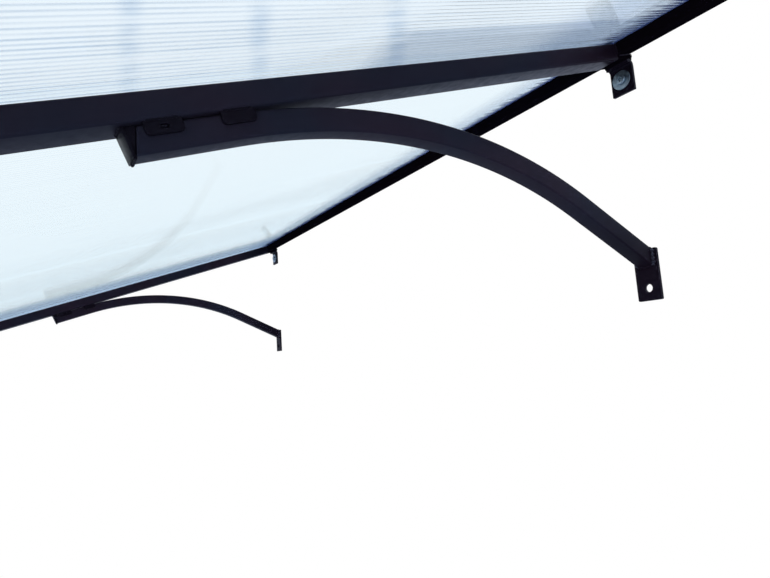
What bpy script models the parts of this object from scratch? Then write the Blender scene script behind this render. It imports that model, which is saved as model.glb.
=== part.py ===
"""A polycarbonate door canopy: twin-wall sheet on a welded steel frame with tabs and curved arms.

Metres, +Z up. The wall is the plane y = 0, the canopy stands out from it towards -Y, and X runs along it.
The origin is on the back of the middle tab, where that tab meets the wall.
The frame slopes. Its pieces are built level, with the wall at y = 0 and the frame's underside at z = 0,
and hang on an empty that turns them to the slope. The arms and the wall plates are built upright.
"""

import math

import bmesh
import bpy
from mathutils import Matrix, Vector

for old in list(bpy.data.objects):
    bpy.data.objects.remove(old)

# Clearance that neighbouring pieces keep, and the distance below which two points are one
FIT = 0.0003
MERGE = 0.00001

# Least share of a face's normal along an axis for the face to look that way
FACING = 0.5

# Frame of rectangular tube laid flat: the bay is the distance between two rafters' centre lines
SLOPE = math.radians(18.0)
BAY = 1.180
FRAME_DEPTH = 0.800
TUBE_WIDTH = 0.030
TUBE_HEIGHT = 0.020
TUBE_WALL = 0.0015
TUBE_CORNER = 0.0020

# The rail at the wall is a lower tube, let into the rafters so that all tops are level
WALL_RAIL_HEIGHT = 0.015

# Plastic plugs in the open ends of the two rails
PLUG_FLANGE = 0.0020
PLUG_DEPTH = 0.012

# Twin-wall sheet, with its flutes down the slope
SHEET_THICKNESS = 0.0040
FLUTE_PITCH = 0.0050
SKIN = 0.0004
RIB = 0.0004
SHEET_TO_CENTRE = 0.004
SHEET_OVERHANG = 0.025
SHEET_TO_WALL = 0.002

# Clear cap bars that clamp the sheets' long edges to the rafters
BAR_WIDTH = 0.030
BAR_THICKNESS = 0.0020

# Trim that closes the flutes along the front edge
TRIM_WALL = 0.0012
TRIM_GRIP = 0.012

# Self-drilling screws with low heads, through the cap bars' two ends into the rails
ROOF_SCREW_INSET = 0.015
ROOF_SHANK_RADIUS = 0.0024
ROOF_SHANK_LENGTH = 0.016
ROOF_HEAD_RADIUS = 0.0055
ROOF_HEAD_HEIGHT = 0.0018

# Curved arms of square tube: a straight lead along the rafter, one bend, a straight run down to the wall
ARM_SIZE = 0.020
ARM_WALL = 0.0015
ARM_CORNER = 0.0020
ARM_REACH = 0.569
ARM_LEAD = 0.076
ARM_BEND_RADIUS = 0.517
ARM_WALL_ANGLE = math.radians(25.5)
ARM_GAP = 0.0010
ARM_BEND_STEPS = 11

# Plate that closes the arm's outer end and leans out to the rafter
END_PLATE_THICKNESS = 0.0020
END_PLATE_LEAN = math.radians(23.0)

# Lugs welded between the rafter and the arm's two sides
LUG_LENGTH = 0.0265
LUG_HEIGHT = 0.010
LUG_THICKNESS = 0.0030
LUG_CORNER = 0.0030
LUG_INSET = 0.003
LUG_SPACING = 0.0545
LUG_SLOT_LENGTH = 0.0070
LUG_SLOT_WIDTH = 0.0030

# Flat bar that the wall tabs and the arms' wall plates are made of
PLATE_WIDTH = 0.030
PLATE_THICKNESS = 0.0040
PLATE_HEIGHT = 0.062
PLATE_CORNER = 0.0015
HOLE_RADIUS = 0.0050
PLATE_HOLE_UP = 0.015

# Wall tabs, bent to follow the rafters' undersides
TAB_DROP = 0.041
TAB_LEG = 0.013
TAB_BEND_RADIUS = 0.0030
TAB_HOLE_UP = 0.0175
TAB_BEND_STEPS = 6
ORIGIN_UP = 0.0060

# Large washer and pan-head screw in each tab
WASHER_RADIUS = 0.012
WASHER_THICKNESS = 0.0018
WASHER_BORE_RADIUS = 0.0042
SCREW_SHANK_RADIUS = 0.0038
SCREW_HEAD_RADIUS = 0.0062
SCREW_HEAD_HEIGHT = 0.0032

# Shares of all screws' pan heads: height of each of the two slopes, radius of the flat top and the shoulder
PAN_STEP = 0.35
PAN_TOP = 0.55
PAN_SHOULDER = 0.88

# Facets of small round shapes, and the angle between faces beyond which their edge is sharp
ROUND_STEPS = 16
HOLE_STEPS = 16
CORNER_STEPS = 2
SHARP_ANGLE = math.radians(40.0)

# Heights and places that follow from the sizes above
FRAME_RISE = TAB_DROP - ORIGIN_UP
RAFTERS = {"left": -BAY, "middle": 0.0, "right": BAY}
SHEET_UNDERSIDE = TUBE_HEIGHT + FIT
BAR_UNDERSIDE = SHEET_UNDERSIDE + SHEET_THICKNESS + FIT
SHEET_BACK = (SHEET_UNDERSIDE * math.sin(SLOPE) - SHEET_TO_WALL) / math.cos(SLOPE)
SHEET_FRONT = -FRAME_DEPTH - SHEET_OVERHANG
TRIM_BACK = SHEET_FRONT + TRIM_GRIP


def paint(name, colour, roughness, metallic=0.0, alpha=1.0):
    """A Principled material with the piece's colour, roughness and metallic value."""
    made = bpy.data.materials.new(name)
    made.use_nodes = True
    shader = made.node_tree.nodes["Principled BSDF"]
    shader.inputs["Base Color"].default_value = (*colour, 1.0)
    shader.inputs["Roughness"].default_value = roughness
    shader.inputs["Metallic"].default_value = metallic
    shader.inputs["Alpha"].default_value = alpha
    return made


def put(name, mesh, finish, parent=None, location=(0.0, 0.0, 0.0), rotation=(0.0, 0.0, 0.0)):
    """A named piece of the canopy, with its material, set in its place under its parent."""
    if not mesh.materials:
        mesh.materials.append(finish)
    piece = bpy.data.objects.new(name, mesh)
    piece.parent = parent
    piece.location = location
    piece.rotation_euler = rotation
    pieces.objects.link(piece)
    return piece


def put_cutter(name, mesh, parent=None, location=(0.0, 0.0, 0.0)):
    """A shape that only cuts others."""
    cutter = bpy.data.objects.new(name, mesh)
    cutter.parent = parent
    cutter.location = location
    cutter.display_type = "WIRE"
    cutter.hide_render = True
    cutters.objects.link(cutter)
    return cutter


def cut(piece, cutter):
    """Takes the cutter's shape out of the piece."""
    boolean = piece.modifiers.new(cutter.name, "BOOLEAN")
    boolean.operation = "DIFFERENCE"
    boolean.solver = "EXACT"
    boolean.object = cutter


def hollow(piece, wall):
    """Gives an open tube surface its wall, inwards."""
    solidify = piece.modifiers.new("wall", "SOLIDIFY")
    solidify.thickness = wall
    solidify.offset = -1.0
    solidify.use_even_offset = True


def finish_mesh(bm, name, smooth=False):
    """Turns a bmesh into a mesh with its faces pointing out, and shades the rounds smooth."""
    bmesh.ops.recalc_face_normals(bm, faces=bm.faces)
    mesh = bpy.data.meshes.new(name)
    bm.to_mesh(mesh)
    bm.free()
    if smooth:
        mesh.shade_smooth()
        mesh.set_sharp_from_angle(angle=SHARP_ANGLE)
    return mesh


def arc(centre, radius, start, end, steps):
    """Points on a circular arc, from one angle to another, both in radians."""
    points = []
    for step in range(steps + 1):
        angle = start + (end - start) * step / steps
        points.append((centre[0] + radius * math.cos(angle), centre[1] + radius * math.sin(angle)))
    return points


def circle(centre, radius):
    """A closed loop round a hole."""
    return arc(centre, radius, 0.0, 2.0 * math.pi * (HOLE_STEPS - 1) / HOLE_STEPS, HOLE_STEPS - 1)


def rectangle(low_x, high_x, low_y, high_y):
    """A closed rectangular loop."""
    return [(low_x, low_y), (high_x, low_y), (high_x, high_y), (low_x, high_y)]


def rounded_rectangle(low_x, high_x, low_y, high_y, radius):
    """A closed rectangular loop with round corners."""
    corners = [
        ((high_x - radius, high_y - radius), 0.0),
        ((low_x + radius, high_y - radius), 0.5 * math.pi),
        ((low_x + radius, low_y + radius), math.pi),
        ((high_x - radius, low_y + radius), 1.5 * math.pi),
    ]
    loop = []
    for centre, start in corners:
        loop += arc(centre, radius, start, start + 0.5 * math.pi, CORNER_STEPS)
    return loop


def extruded(name, loops, depth):
    """A mesh cut from closed loops, the first an outline and the others its holes, and depth thick."""
    curve = bpy.data.curves.new(name, "CURVE")
    curve.dimensions = "2D"
    curve.fill_mode = "BOTH"
    curve.extrude = depth / 2.0
    for loop in loops:
        spline = curve.splines.new("POLY")
        spline.points.add(len(loop) - 1)
        for point, place in zip(spline.points, loop):
            point.co = (place[0], place[1], 0.0, 1.0)
        spline.use_cyclic_u = True
    holder = bpy.data.objects.new(name, curve)
    bpy.context.scene.collection.objects.link(holder)
    evaluated = holder.evaluated_get(bpy.context.evaluated_depsgraph_get())
    filled = bpy.data.meshes.new_from_object(evaluated)
    bm = bmesh.new()
    bm.from_mesh(filled)
    bmesh.ops.remove_doubles(bm, verts=bm.verts, dist=MERGE)
    bpy.data.objects.remove(holder)
    bpy.data.curves.remove(curve)
    bpy.data.meshes.remove(filled)
    return finish_mesh(bm, name)


def turned(name, profile, steps):
    """A mesh turned round Z from a profile of (radius, height) points that runs down its outer side."""
    bm = bmesh.new()
    points = [bm.verts.new((radius, 0.0, height)) for radius, height in profile]
    for first, second in zip(points, points[1:]):
        bm.edges.new((first, second))
    if profile[0][0] > 0.0:
        bm.edges.new((points[-1], points[0]))
    outline = bpy.data.meshes.new(name)
    bm.to_mesh(outline)
    bm.free()
    holder = bpy.data.objects.new(name, outline)
    bpy.context.scene.collection.objects.link(holder)
    screw = holder.modifiers.new("turn", "SCREW")
    screw.steps = steps
    screw.render_steps = steps
    screw.use_merge_vertices = True
    screw.merge_threshold = MERGE
    screw.use_normal_calculate = True
    evaluated = holder.evaluated_get(bpy.context.evaluated_depsgraph_get())
    mesh = bpy.data.meshes.new_from_object(evaluated)
    bpy.data.objects.remove(holder)
    bpy.data.meshes.remove(outline)
    bm = bmesh.new()
    bm.from_mesh(mesh)
    bmesh.ops.remove_doubles(bm, verts=bm.verts, dist=MERGE)
    bpy.data.meshes.remove(mesh)
    return finish_mesh(bm, name, smooth=True)


def box_mesh(name, low, high):
    """A plain box between two corners."""
    bm = bmesh.new()
    bmesh.ops.create_cube(bm, size=1.0)
    size = Vector(high) - Vector(low)
    bmesh.ops.scale(bm, vec=size, verts=bm.verts)
    bmesh.ops.translate(bm, vec=(Vector(high) + Vector(low)) / 2.0, verts=bm.verts)
    return finish_mesh(bm, name)


def tube_mesh(name, length, height):
    """The outer skin of a rectangular tube along X, open at both ends, with round long edges."""
    bm = bmesh.new()
    bmesh.ops.create_cube(bm, size=1.0)
    bmesh.ops.scale(bm, vec=(length, TUBE_WIDTH, height), verts=bm.verts)
    ends = [face for face in bm.faces if abs(face.normal.x) > FACING]
    bmesh.ops.delete(bm, geom=ends, context="FACES_ONLY")
    long_edges = [edge for edge in bm.edges if not edge.is_boundary]
    bmesh.ops.bevel(
        bm, geom=long_edges, offset=TUBE_CORNER, segments=CORNER_STEPS, profile=0.5, affect="EDGES"
    )
    return finish_mesh(bm, name, smooth=True)


def underside(out):
    """Height of the frame's underside at a level distance out from the wall."""
    return FRAME_RISE - math.tan(SLOPE) * out


def side_view(place):
    """A point of the upright side view, (out from the wall, up), in space."""
    return Vector((0.0, -place[0], place[1]))


# Turns a flat shape so that its X runs out from the wall and its Y runs up
SIDE_ON = Matrix(((0.0, 0.0, -1.0), (-1.0, 0.0, 0.0), (0.0, 1.0, 0.0))).to_euler()
# Turns a flat shape so that its Y runs up and its thickness lies along Y
FACE_ON = (0.5 * math.pi, 0.0, 0.0)


def arm_line():
    """Side-view points of an arm's centre line: outer end, start and end of the bend, and wall end."""
    to_centre = (ARM_GAP + ARM_SIZE / 2.0) / math.cos(SLOPE)
    outer = (ARM_REACH, underside(ARM_REACH) - to_centre)
    bend_out = ARM_REACH - ARM_LEAD * math.cos(SLOPE)
    start = (bend_out, underside(bend_out) - to_centre)
    end = (
        start[0] - ARM_BEND_RADIUS * (math.sin(SLOPE) + math.sin(ARM_WALL_ANGLE)),
        start[1] + ARM_BEND_RADIUS * (math.cos(ARM_WALL_ANGLE) - math.cos(SLOPE)),
    )
    wall_out = PLATE_THICKNESS + FIT
    wall = (wall_out, end[1] - math.tan(ARM_WALL_ANGLE) * (end[0] - wall_out))
    return outer, start, end, wall


def arm_mesh():
    """The outer skin of an arm: a square ring drawn along the lead, round the bend and down to the wall."""
    outer, start, end, wall = arm_line()
    along = Vector((0.0, math.cos(SLOPE), math.sin(SLOPE)))
    square_to = Vector((0.0, -math.sin(SLOPE), math.cos(SLOPE)))
    down = Vector((0.0, math.cos(ARM_WALL_ANGLE), -math.sin(ARM_WALL_ANGLE)))
    half = ARM_SIZE / 2.0
    spare = ARM_SIZE
    origin = side_view(outer) - along * spare
    bm = bmesh.new()
    ring = []
    for x, up in rounded_rectangle(-half, half, -half, half, ARM_CORNER):
        ring.append(bm.verts.new(origin + Vector((x, 0.0, 0.0)) + square_to * up))
    edges = [bm.edges.new((ring[i - 1], ring[i])) for i in range(len(ring))]
    drawn = bmesh.ops.extrude_edge_only(bm, edges=edges)["geom"]
    lead = (side_view(start) - origin).length
    bmesh.ops.translate(bm, vec=along * lead, verts=[v for v in drawn if isinstance(v, bmesh.types.BMVert)])
    edges = [e for e in drawn if isinstance(e, bmesh.types.BMEdge)]
    spun = bmesh.ops.spin(
        bm,
        geom=edges,
        cent=side_view(start) - square_to * ARM_BEND_RADIUS,
        axis=(1.0, 0.0, 0.0),
        angle=-(SLOPE + ARM_WALL_ANGLE),
        steps=ARM_BEND_STEPS,
        use_duplicate=False,
    )["geom_last"]
    edges = [e for e in spun if isinstance(e, bmesh.types.BMEdge)]
    drawn = bmesh.ops.extrude_edge_only(bm, edges=edges)["geom"]
    run = (side_view(wall) - side_view(end)).length + spare
    bmesh.ops.translate(bm, vec=down * run, verts=[v for v in drawn if isinstance(v, bmesh.types.BMVert)])
    return finish_mesh(bm, "arm", smooth=True)


def plug_mesh(height):
    """A plug for a rail's right end: a flange as large as the tube, and a block that sits in the tube."""
    bm = bmesh.new()
    bmesh.ops.create_cube(bm, size=1.0)
    bmesh.ops.scale(bm, vec=(PLUG_FLANGE, TUBE_WIDTH, height), verts=bm.verts)
    inner = [face for face in bm.faces if face.normal.x < -FACING]
    bmesh.ops.inset_region(bm, faces=inner, thickness=TUBE_WALL + FIT, use_even_offset=True)
    drawn = bmesh.ops.extrude_discrete_faces(bm, faces=inner)["faces"]
    drawn_points = list({vert for face in drawn for vert in face.verts})
    bmesh.ops.translate(bm, vec=(-PLUG_DEPTH - FIT, 0.0, 0.0), verts=drawn_points)
    return finish_mesh(bm, "rail_plug")


def add_rails():
    """The wall rail and the front rail, across both bays, drilled on top, with a plug in each end."""
    length = 2.0 * BAY + TUBE_WIDTH
    end = length / 2.0 + FIT + PLUG_FLANGE / 2.0
    rails = {
        "wall_rail": (-TUBE_WIDTH / 2.0, WALL_RAIL_HEIGHT),
        "front_rail": (TUBE_WIDTH / 2.0 - FRAME_DEPTH, TUBE_HEIGHT),
    }
    for name, (y, height) in rails.items():
        up = TUBE_HEIGHT - height / 2.0
        rail = put(name, tube_mesh(name, length, height), black_paint, slope, (0.0, y, up))
        hollow(rail, TUBE_WALL)
        for holes in screw_holes.values():
            cut(rail, holes)
        plug = plug_mesh(height)
        put(name + "_plug_right", plug, black_plastic, slope, (end, y, up))
        put(name + "_plug_left", plug, black_plastic, slope, (-end, y, up), (0.0, 0.0, math.pi))


def screw_rows():
    """Places down the slope of the two screws in one cap bar."""
    return [-ROOF_SCREW_INSET, ROOF_SCREW_INSET - FRAME_DEPTH]


def add_rafters():
    """Three rafters from the wall to the front rail, notched where the wall rail lies in them."""
    length = FRAME_DEPTH - TUBE_WIDTH - FIT
    mesh = tube_mesh("rafter", length, TUBE_HEIGHT)
    floor = TUBE_HEIGHT - WALL_RAIL_HEIGHT - FIT
    spare = TUBE_HEIGHT
    notch = box_mesh(
        "rafter_notch",
        (-TUBE_WIDTH, -TUBE_WIDTH - FIT, floor),
        (TUBE_WIDTH, spare, TUBE_HEIGHT + spare),
    )
    for side, x in RAFTERS.items():
        place = (x, -length / 2.0, TUBE_HEIGHT / 2.0)
        rafter = put("rafter_" + side, mesh, black_paint, slope, place, (0.0, 0.0, 0.5 * math.pi))
        hollow(rafter, TUBE_WALL)
        cut(rafter, put_cutter("rafter_notch_" + side, notch, slope, (x, 0.0, 0.0)))


def make_screw_holes():
    """For each cap bar, the round holes that its screws go through."""
    rows = {}
    for side, x in RAFTERS.items():
        bm = bmesh.new()
        for y in screw_rows():
            place = Matrix.Translation((x, y, TUBE_HEIGHT + SHEET_THICKNESS))
            bmesh.ops.create_cone(
                bm,
                cap_ends=True,
                segments=ROUND_STEPS // 2,
                radius1=ROOF_SHANK_RADIUS + FIT,
                radius2=ROOF_SHANK_RADIUS + FIT,
                depth=TUBE_HEIGHT,
                matrix=place,
            )
        rows[side] = put_cutter("screw_holes_" + side, finish_mesh(bm, "screw_holes"), slope)
    return rows


def add_sheets():
    """Two twin-wall sheets, one a bay, each with its rectangular flutes open at both ends."""
    width = BAY - 2.0 * SHEET_TO_CENTRE
    flutes = int((width - RIB) / FLUTE_PITCH)
    first = -flutes * FLUTE_PITCH / 2.0
    half = SHEET_THICKNESS / 2.0
    loops = [rectangle(-width / 2.0, width / 2.0, -half, half)]
    for flute in range(flutes):
        left = first + flute * FLUTE_PITCH + RIB / 2.0
        loops.append(rectangle(left, left + FLUTE_PITCH - RIB, SKIN - half, half - SKIN))
    mesh = extruded("sheet", loops, SHEET_BACK - SHEET_FRONT)
    middle = (SHEET_BACK + SHEET_FRONT) / 2.0
    for side, x in {"left": -BAY / 2.0, "right": BAY / 2.0}.items():
        put("sheet_" + side, mesh, polycarbonate, slope, (x, middle, SHEET_UNDERSIDE + half), FACE_ON)


def add_bars():
    """A flat cap bar over the joint of the two sheets, and a cap bar with a down-turned lip at each side."""
    half = BAR_WIDTH / 2.0
    flat = rectangle(-half, half, 0.0, BAR_THICKNESS)
    lip = FIT - (BAR_UNDERSIDE - TUBE_HEIGHT)
    right = [
        (-half, 0.0),
        (half - BAR_THICKNESS, 0.0),
        (half - BAR_THICKNESS, lip),
        (half, lip),
        (half, BAR_THICKNESS),
        (-half, BAR_THICKNESS),
    ]
    left = [(-x, z) for x, z in reversed(right)]
    back = SHEET_BACK
    front = TRIM_BACK + FIT
    for side, loop in {"left": left, "middle": flat, "right": right}.items():
        mesh = extruded("cap_bar", [loop], back - front)
        place = (RAFTERS[side], (back + front) / 2.0, BAR_UNDERSIDE)
        cut(put("cap_bar_" + side, mesh, clear_trim, slope, place, FACE_ON), screw_holes[side])


def add_front_trims():
    """A U-shaped trim over the open flutes along each sheet's front edge."""
    low = SHEET_UNDERSIDE - FIT
    high = SHEET_UNDERSIDE + SHEET_THICKNESS + FIT
    front = -SHEET_FRONT + FIT
    back = -TRIM_BACK
    loop = [
        (back, low - TRIM_WALL),
        (front + TRIM_WALL, low - TRIM_WALL),
        (front + TRIM_WALL, high + TRIM_WALL),
        (back, high + TRIM_WALL),
        (back, high),
        (front, high),
        (front, low),
        (back, low),
    ]
    mesh = extruded("front_trim", [loop], BAY - 2.0 * SHEET_TO_CENTRE)
    for side, x in {"left": -BAY / 2.0, "right": BAY / 2.0}.items():
        put("front_trim_" + side, mesh, clear_trim, slope, (x, 0.0, 0.0), SIDE_ON)


def pan_head(radius, height, seat):
    """Profile points of a screw's head above its seat, from the middle of its top down to its rim."""
    step = PAN_STEP * height
    return [
        (0.0, seat + height),
        (PAN_TOP * radius, seat + height),
        (PAN_SHOULDER * radius, seat + height - step),
        (radius, seat + height - 2.0 * step),
        (radius, seat),
    ]


def add_roof_screws():
    """Low-headed screws with pointed shanks, down through the cap bars into the rails."""
    profile = pan_head(ROOF_HEAD_RADIUS, ROOF_HEAD_HEIGHT, 0.0)
    profile += [
        (ROOF_SHANK_RADIUS, 0.0),
        (ROOF_SHANK_RADIUS, ROOF_SHANK_RADIUS - ROOF_SHANK_LENGTH),
        (0.0, -ROOF_SHANK_LENGTH),
    ]
    mesh = turned("roof_screw", profile, ROUND_STEPS)
    for side, x in RAFTERS.items():
        for number, y in enumerate(screw_rows(), start=1):
            place = (x, y, BAR_UNDERSIDE + BAR_THICKNESS + FIT)
            put("roof_screw_{}_{}".format(side, number), mesh, zinc, slope, place)


def add_arms():
    """The curved arms, cut upright at their outer ends and where they meet the wall plates."""
    mesh = arm_mesh()
    outer = arm_line()[0]
    wall = arm_line()[3]
    width = BAY + ARM_SIZE
    far = 2.0 * ARM_SIZE
    outer_box = box_mesh(
        "arm_outer_cut",
        (-width, -outer[0] - 2.0 * far, outer[1] - 2.0 * far),
        (width, -outer[0], outer[1] + far),
    )
    wall_box = box_mesh("arm_wall_cut", (-width, -wall[0], wall[1] - far), (width, far, wall[1] + far))
    outer_cutter = put_cutter("arm_outer_cut", outer_box)
    wall_cutter = put_cutter("arm_wall_cut", wall_box)
    for side, x in RAFTERS.items():
        arm = put("arm_" + side, mesh, black_paint, None, (x, 0.0, 0.0))
        hollow(arm, ARM_WALL)
        cut(arm, outer_cutter)
        cut(arm, wall_cutter)


def add_end_plates():
    """The plate that leans out from each arm's end to the rafter, with a narrower block behind it.

    The block fills the wedge between the plate and the arm's upright end.
    """
    lean = Vector((math.sin(END_PLATE_LEAN), math.cos(END_PLATE_LEAN)))
    through = Vector((math.cos(END_PLATE_LEAN), -math.sin(END_PLATE_LEAN))) * END_PLATE_THICKNESS
    foot_out = ARM_REACH + FIT
    below = (ARM_GAP + ARM_SIZE) / math.cos(SLOPE)
    foot = Vector((foot_out, underside(foot_out) - below))
    roof = -math.tan(SLOPE)

    def reach(point):
        """How far a point goes along the lean before it is the clearance below the rafter."""
        gap = underside(point.x) - FIT / math.cos(SLOPE) - point.y
        return gap / (lean.y - roof * lean.x)

    outer_foot = foot + through
    loop = [foot, outer_foot, outer_foot + lean * reach(outer_foot), foot + lean * reach(foot)]
    bm = bmesh.new()
    bm.from_mesh(extruded("arm_end_plate", [loop], ARM_SIZE))
    inner = [face for face in bm.faces if face.normal.x < -FACING]
    bmesh.ops.inset_region(bm, faces=inner, thickness=ARM_WALL + FIT, use_even_offset=True)
    half_up = foot.y + lean.y * reach(foot) / 2.0
    block_top = underside(foot_out) - 2.0 * FIT / math.cos(SLOPE)
    for vert in {vert for face in inner for vert in face.verts if vert.co.y > half_up}:
        vert.co += lean.to_3d() * ARM_WALL
    drawn = bmesh.ops.extrude_discrete_faces(bm, faces=inner)["faces"]
    for vert in {vert for face in drawn for vert in face.verts}:
        vert.co.x = foot_out
        if vert.co.y > half_up:
            vert.co.y = block_top
    mesh = finish_mesh(bm, "arm_end_plate")
    for side, x in RAFTERS.items():
        put("arm_end_plate_" + side, mesh, black_paint, None, (x, 0.0, 0.0), SIDE_ON)


def add_lugs():
    """Small lugs on both sides of each arm, under the rafter; the outer pair has a slot for a plug weld."""
    half = LUG_LENGTH / 2.0
    radius = LUG_CORNER
    plain = [(half, -FIT), (-half, -FIT)]
    plain += arc((radius - half, radius - LUG_HEIGHT), radius, math.pi, 1.5 * math.pi, CORNER_STEPS + 1)
    plain += arc((half - radius, radius - LUG_HEIGHT), radius, 1.5 * math.pi, 2.0 * math.pi, CORNER_STEPS + 1)
    slot_radius = LUG_SLOT_WIDTH / 2.0
    slot_half = LUG_SLOT_LENGTH / 2.0 - slot_radius
    slot_up = -LUG_HEIGHT / 2.0
    slot = arc((slot_half, slot_up), slot_radius, -0.5 * math.pi, 0.5 * math.pi, 2 * CORNER_STEPS)
    slot += arc((-slot_half, slot_up), slot_radius, 0.5 * math.pi, 1.5 * math.pi, 2 * CORNER_STEPS)
    meshes = {
        "outer": extruded("lug_outer", [plain, slot], LUG_THICKNESS),
        "inner": extruded("lug_inner", [plain], LUG_THICKNESS),
    }
    outer_middle = ARM_REACH / math.cos(SLOPE) - LUG_INSET - half
    downs = {"outer": outer_middle, "inner": outer_middle - LUG_SPACING}
    offset = ARM_SIZE / 2.0 + FIT + LUG_THICKNESS / 2.0
    for side, x in RAFTERS.items():
        for row, down in downs.items():
            for hand, sign in {"l": -1.0, "r": 1.0}.items():
                name = "arm_lug_{}_{}_{}".format(side, row, hand)
                put(name, meshes[row], black_paint, slope, (x + sign * offset, -down, 0.0), SIDE_ON)


def add_wall_plates():
    """The plate on the wall under each arm's lower end, level with the arm's top, drilled near its foot."""
    wall = arm_line()[3]
    top = wall[1] + ARM_SIZE / 2.0 / math.cos(ARM_WALL_ANGLE)
    half = PLATE_WIDTH / 2.0
    outline = rounded_rectangle(-half, half, -PLATE_HEIGHT, 0.0, PLATE_CORNER)
    hole = circle((0.0, PLATE_HOLE_UP - PLATE_HEIGHT), HOLE_RADIUS)
    mesh = extruded("arm_wall_plate", [outline, hole], PLATE_THICKNESS)
    for side, x in RAFTERS.items():
        place = (x, -PLATE_THICKNESS / 2.0, top)
        put("arm_wall_plate_" + side, mesh, black_paint, None, place, FACE_ON)


def add_tabs():
    """The tabs under the rafters' wall ends: a short leg along the rafter, a bend, a leg down the wall."""
    outer_radius = TAB_BEND_RADIUS + PLATE_THICKNESS
    normal = Vector((math.sin(SLOPE), math.cos(SLOPE)))
    along = Vector((math.cos(SLOPE), -math.sin(SLOPE)))
    seat = Vector((0.0, FRAME_RISE)) - normal * FIT
    centre_out = outer_radius
    centre_up = underside(centre_out) - (outer_radius + FIT) / math.cos(SLOPE)
    centre = Vector((centre_out, centre_up))
    top_angle = math.atan2(normal.y, normal.x)
    tip = seat + along * TAB_LEG
    foot_up = FRAME_RISE - TAB_DROP
    loop = [tip]
    loop += arc(centre, outer_radius, top_angle, math.pi, TAB_BEND_STEPS)
    loop += [(0.0, foot_up), (PLATE_THICKNESS, foot_up)]
    loop += arc(centre, TAB_BEND_RADIUS, math.pi, top_angle, TAB_BEND_STEPS)
    loop += [tip - normal * PLATE_THICKNESS]
    mesh = extruded("wall_tab", [loop], PLATE_WIDTH)
    drill = bmesh.new()
    place = Matrix.Translation((0.0, -PLATE_THICKNESS / 2.0, foot_up + TAB_HOLE_UP))
    bmesh.ops.create_cone(
        drill,
        cap_ends=True,
        segments=HOLE_STEPS,
        radius1=HOLE_RADIUS,
        radius2=HOLE_RADIUS,
        depth=2.0 * PLATE_THICKNESS,
        matrix=place @ Matrix.Rotation(0.5 * math.pi, 4, "X"),
    )
    drill_mesh = finish_mesh(drill, "tab_drill")
    for side, x in RAFTERS.items():
        tab = put("wall_tab_" + side, mesh, black_paint, None, (x, 0.0, 0.0), SIDE_ON)
        cut(tab, put_cutter("tab_drill_" + side, drill_mesh, None, (x, 0.0, 0.0)))


def add_tab_fixings():
    """A large washer and a pan-head screw on each tab; the screw ends at the wall."""
    washer = turned(
        "tab_washer",
        [
            (WASHER_BORE_RADIUS, WASHER_THICKNESS),
            (WASHER_RADIUS, WASHER_THICKNESS),
            (WASHER_RADIUS, 0.0),
            (WASHER_BORE_RADIUS, 0.0),
        ],
        ROUND_STEPS,
    )
    seat = WASHER_THICKNESS + 2.0 * FIT
    profile = pan_head(SCREW_HEAD_RADIUS, SCREW_HEAD_HEIGHT, seat)
    profile += [
        (SCREW_SHANK_RADIUS, seat),
        (SCREW_SHANK_RADIUS, FIT - PLATE_THICKNESS),
        (0.0, FIT - PLATE_THICKNESS),
    ]
    screw = turned("tab_screw", profile, ROUND_STEPS)
    up =FRAME_RISE - TAB_DROP + TAB_HOLE_UP
    for side, x in RAFTERS.items():
        place = (x, -PLATE_THICKNESS, up)
        put("tab_washer_" + side, washer, zinc, None, (x, place[1] - FIT, up), FACE_ON)
        put("tab_screw_" + side, screw, zinc, None, place, FACE_ON)


pieces = bpy.data.collections.new("door_canopy")
cutters = bpy.data.collections.new("cutters")
bpy.context.scene.collection.children.link(pieces)
bpy.context.scene.collection.children.link(cutters)

black_paint = paint("black_paint", (0.022, 0.022, 0.032), 0.35)
black_plastic = paint("black_plastic", (0.03, 0.03, 0.032), 0.5)
zinc = paint("zinc", (0.55, 0.60, 0.64), 0.38, metallic=1.0)
polycarbonate = paint("polycarbonate", (0.78, 0.88, 0.94), 0.12, alpha=0.6)
clear_trim = paint("clear_trim", (0.80, 0.88, 0.92), 0.15, alpha=0.7)

slope = bpy.data.objects.new("slope", None)
slope.location = (0.0, 0.0, FRAME_RISE)
slope.rotation_euler = (SLOPE, 0.0, 0.0)
pieces.objects.link(slope)
bpy.context.view_layer.update()

screw_holes = make_screw_holes()
add_rails()
add_rafters()
add_sheets()
add_bars()
add_front_trims()
add_roof_screws()
add_arms()
add_end_plates()
add_lugs()
add_wall_plates()
add_tabs()
add_tab_fixings()
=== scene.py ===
import math

import bmesh
import bpy
import numpy as np
from mathutils import Matrix, Vector


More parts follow.
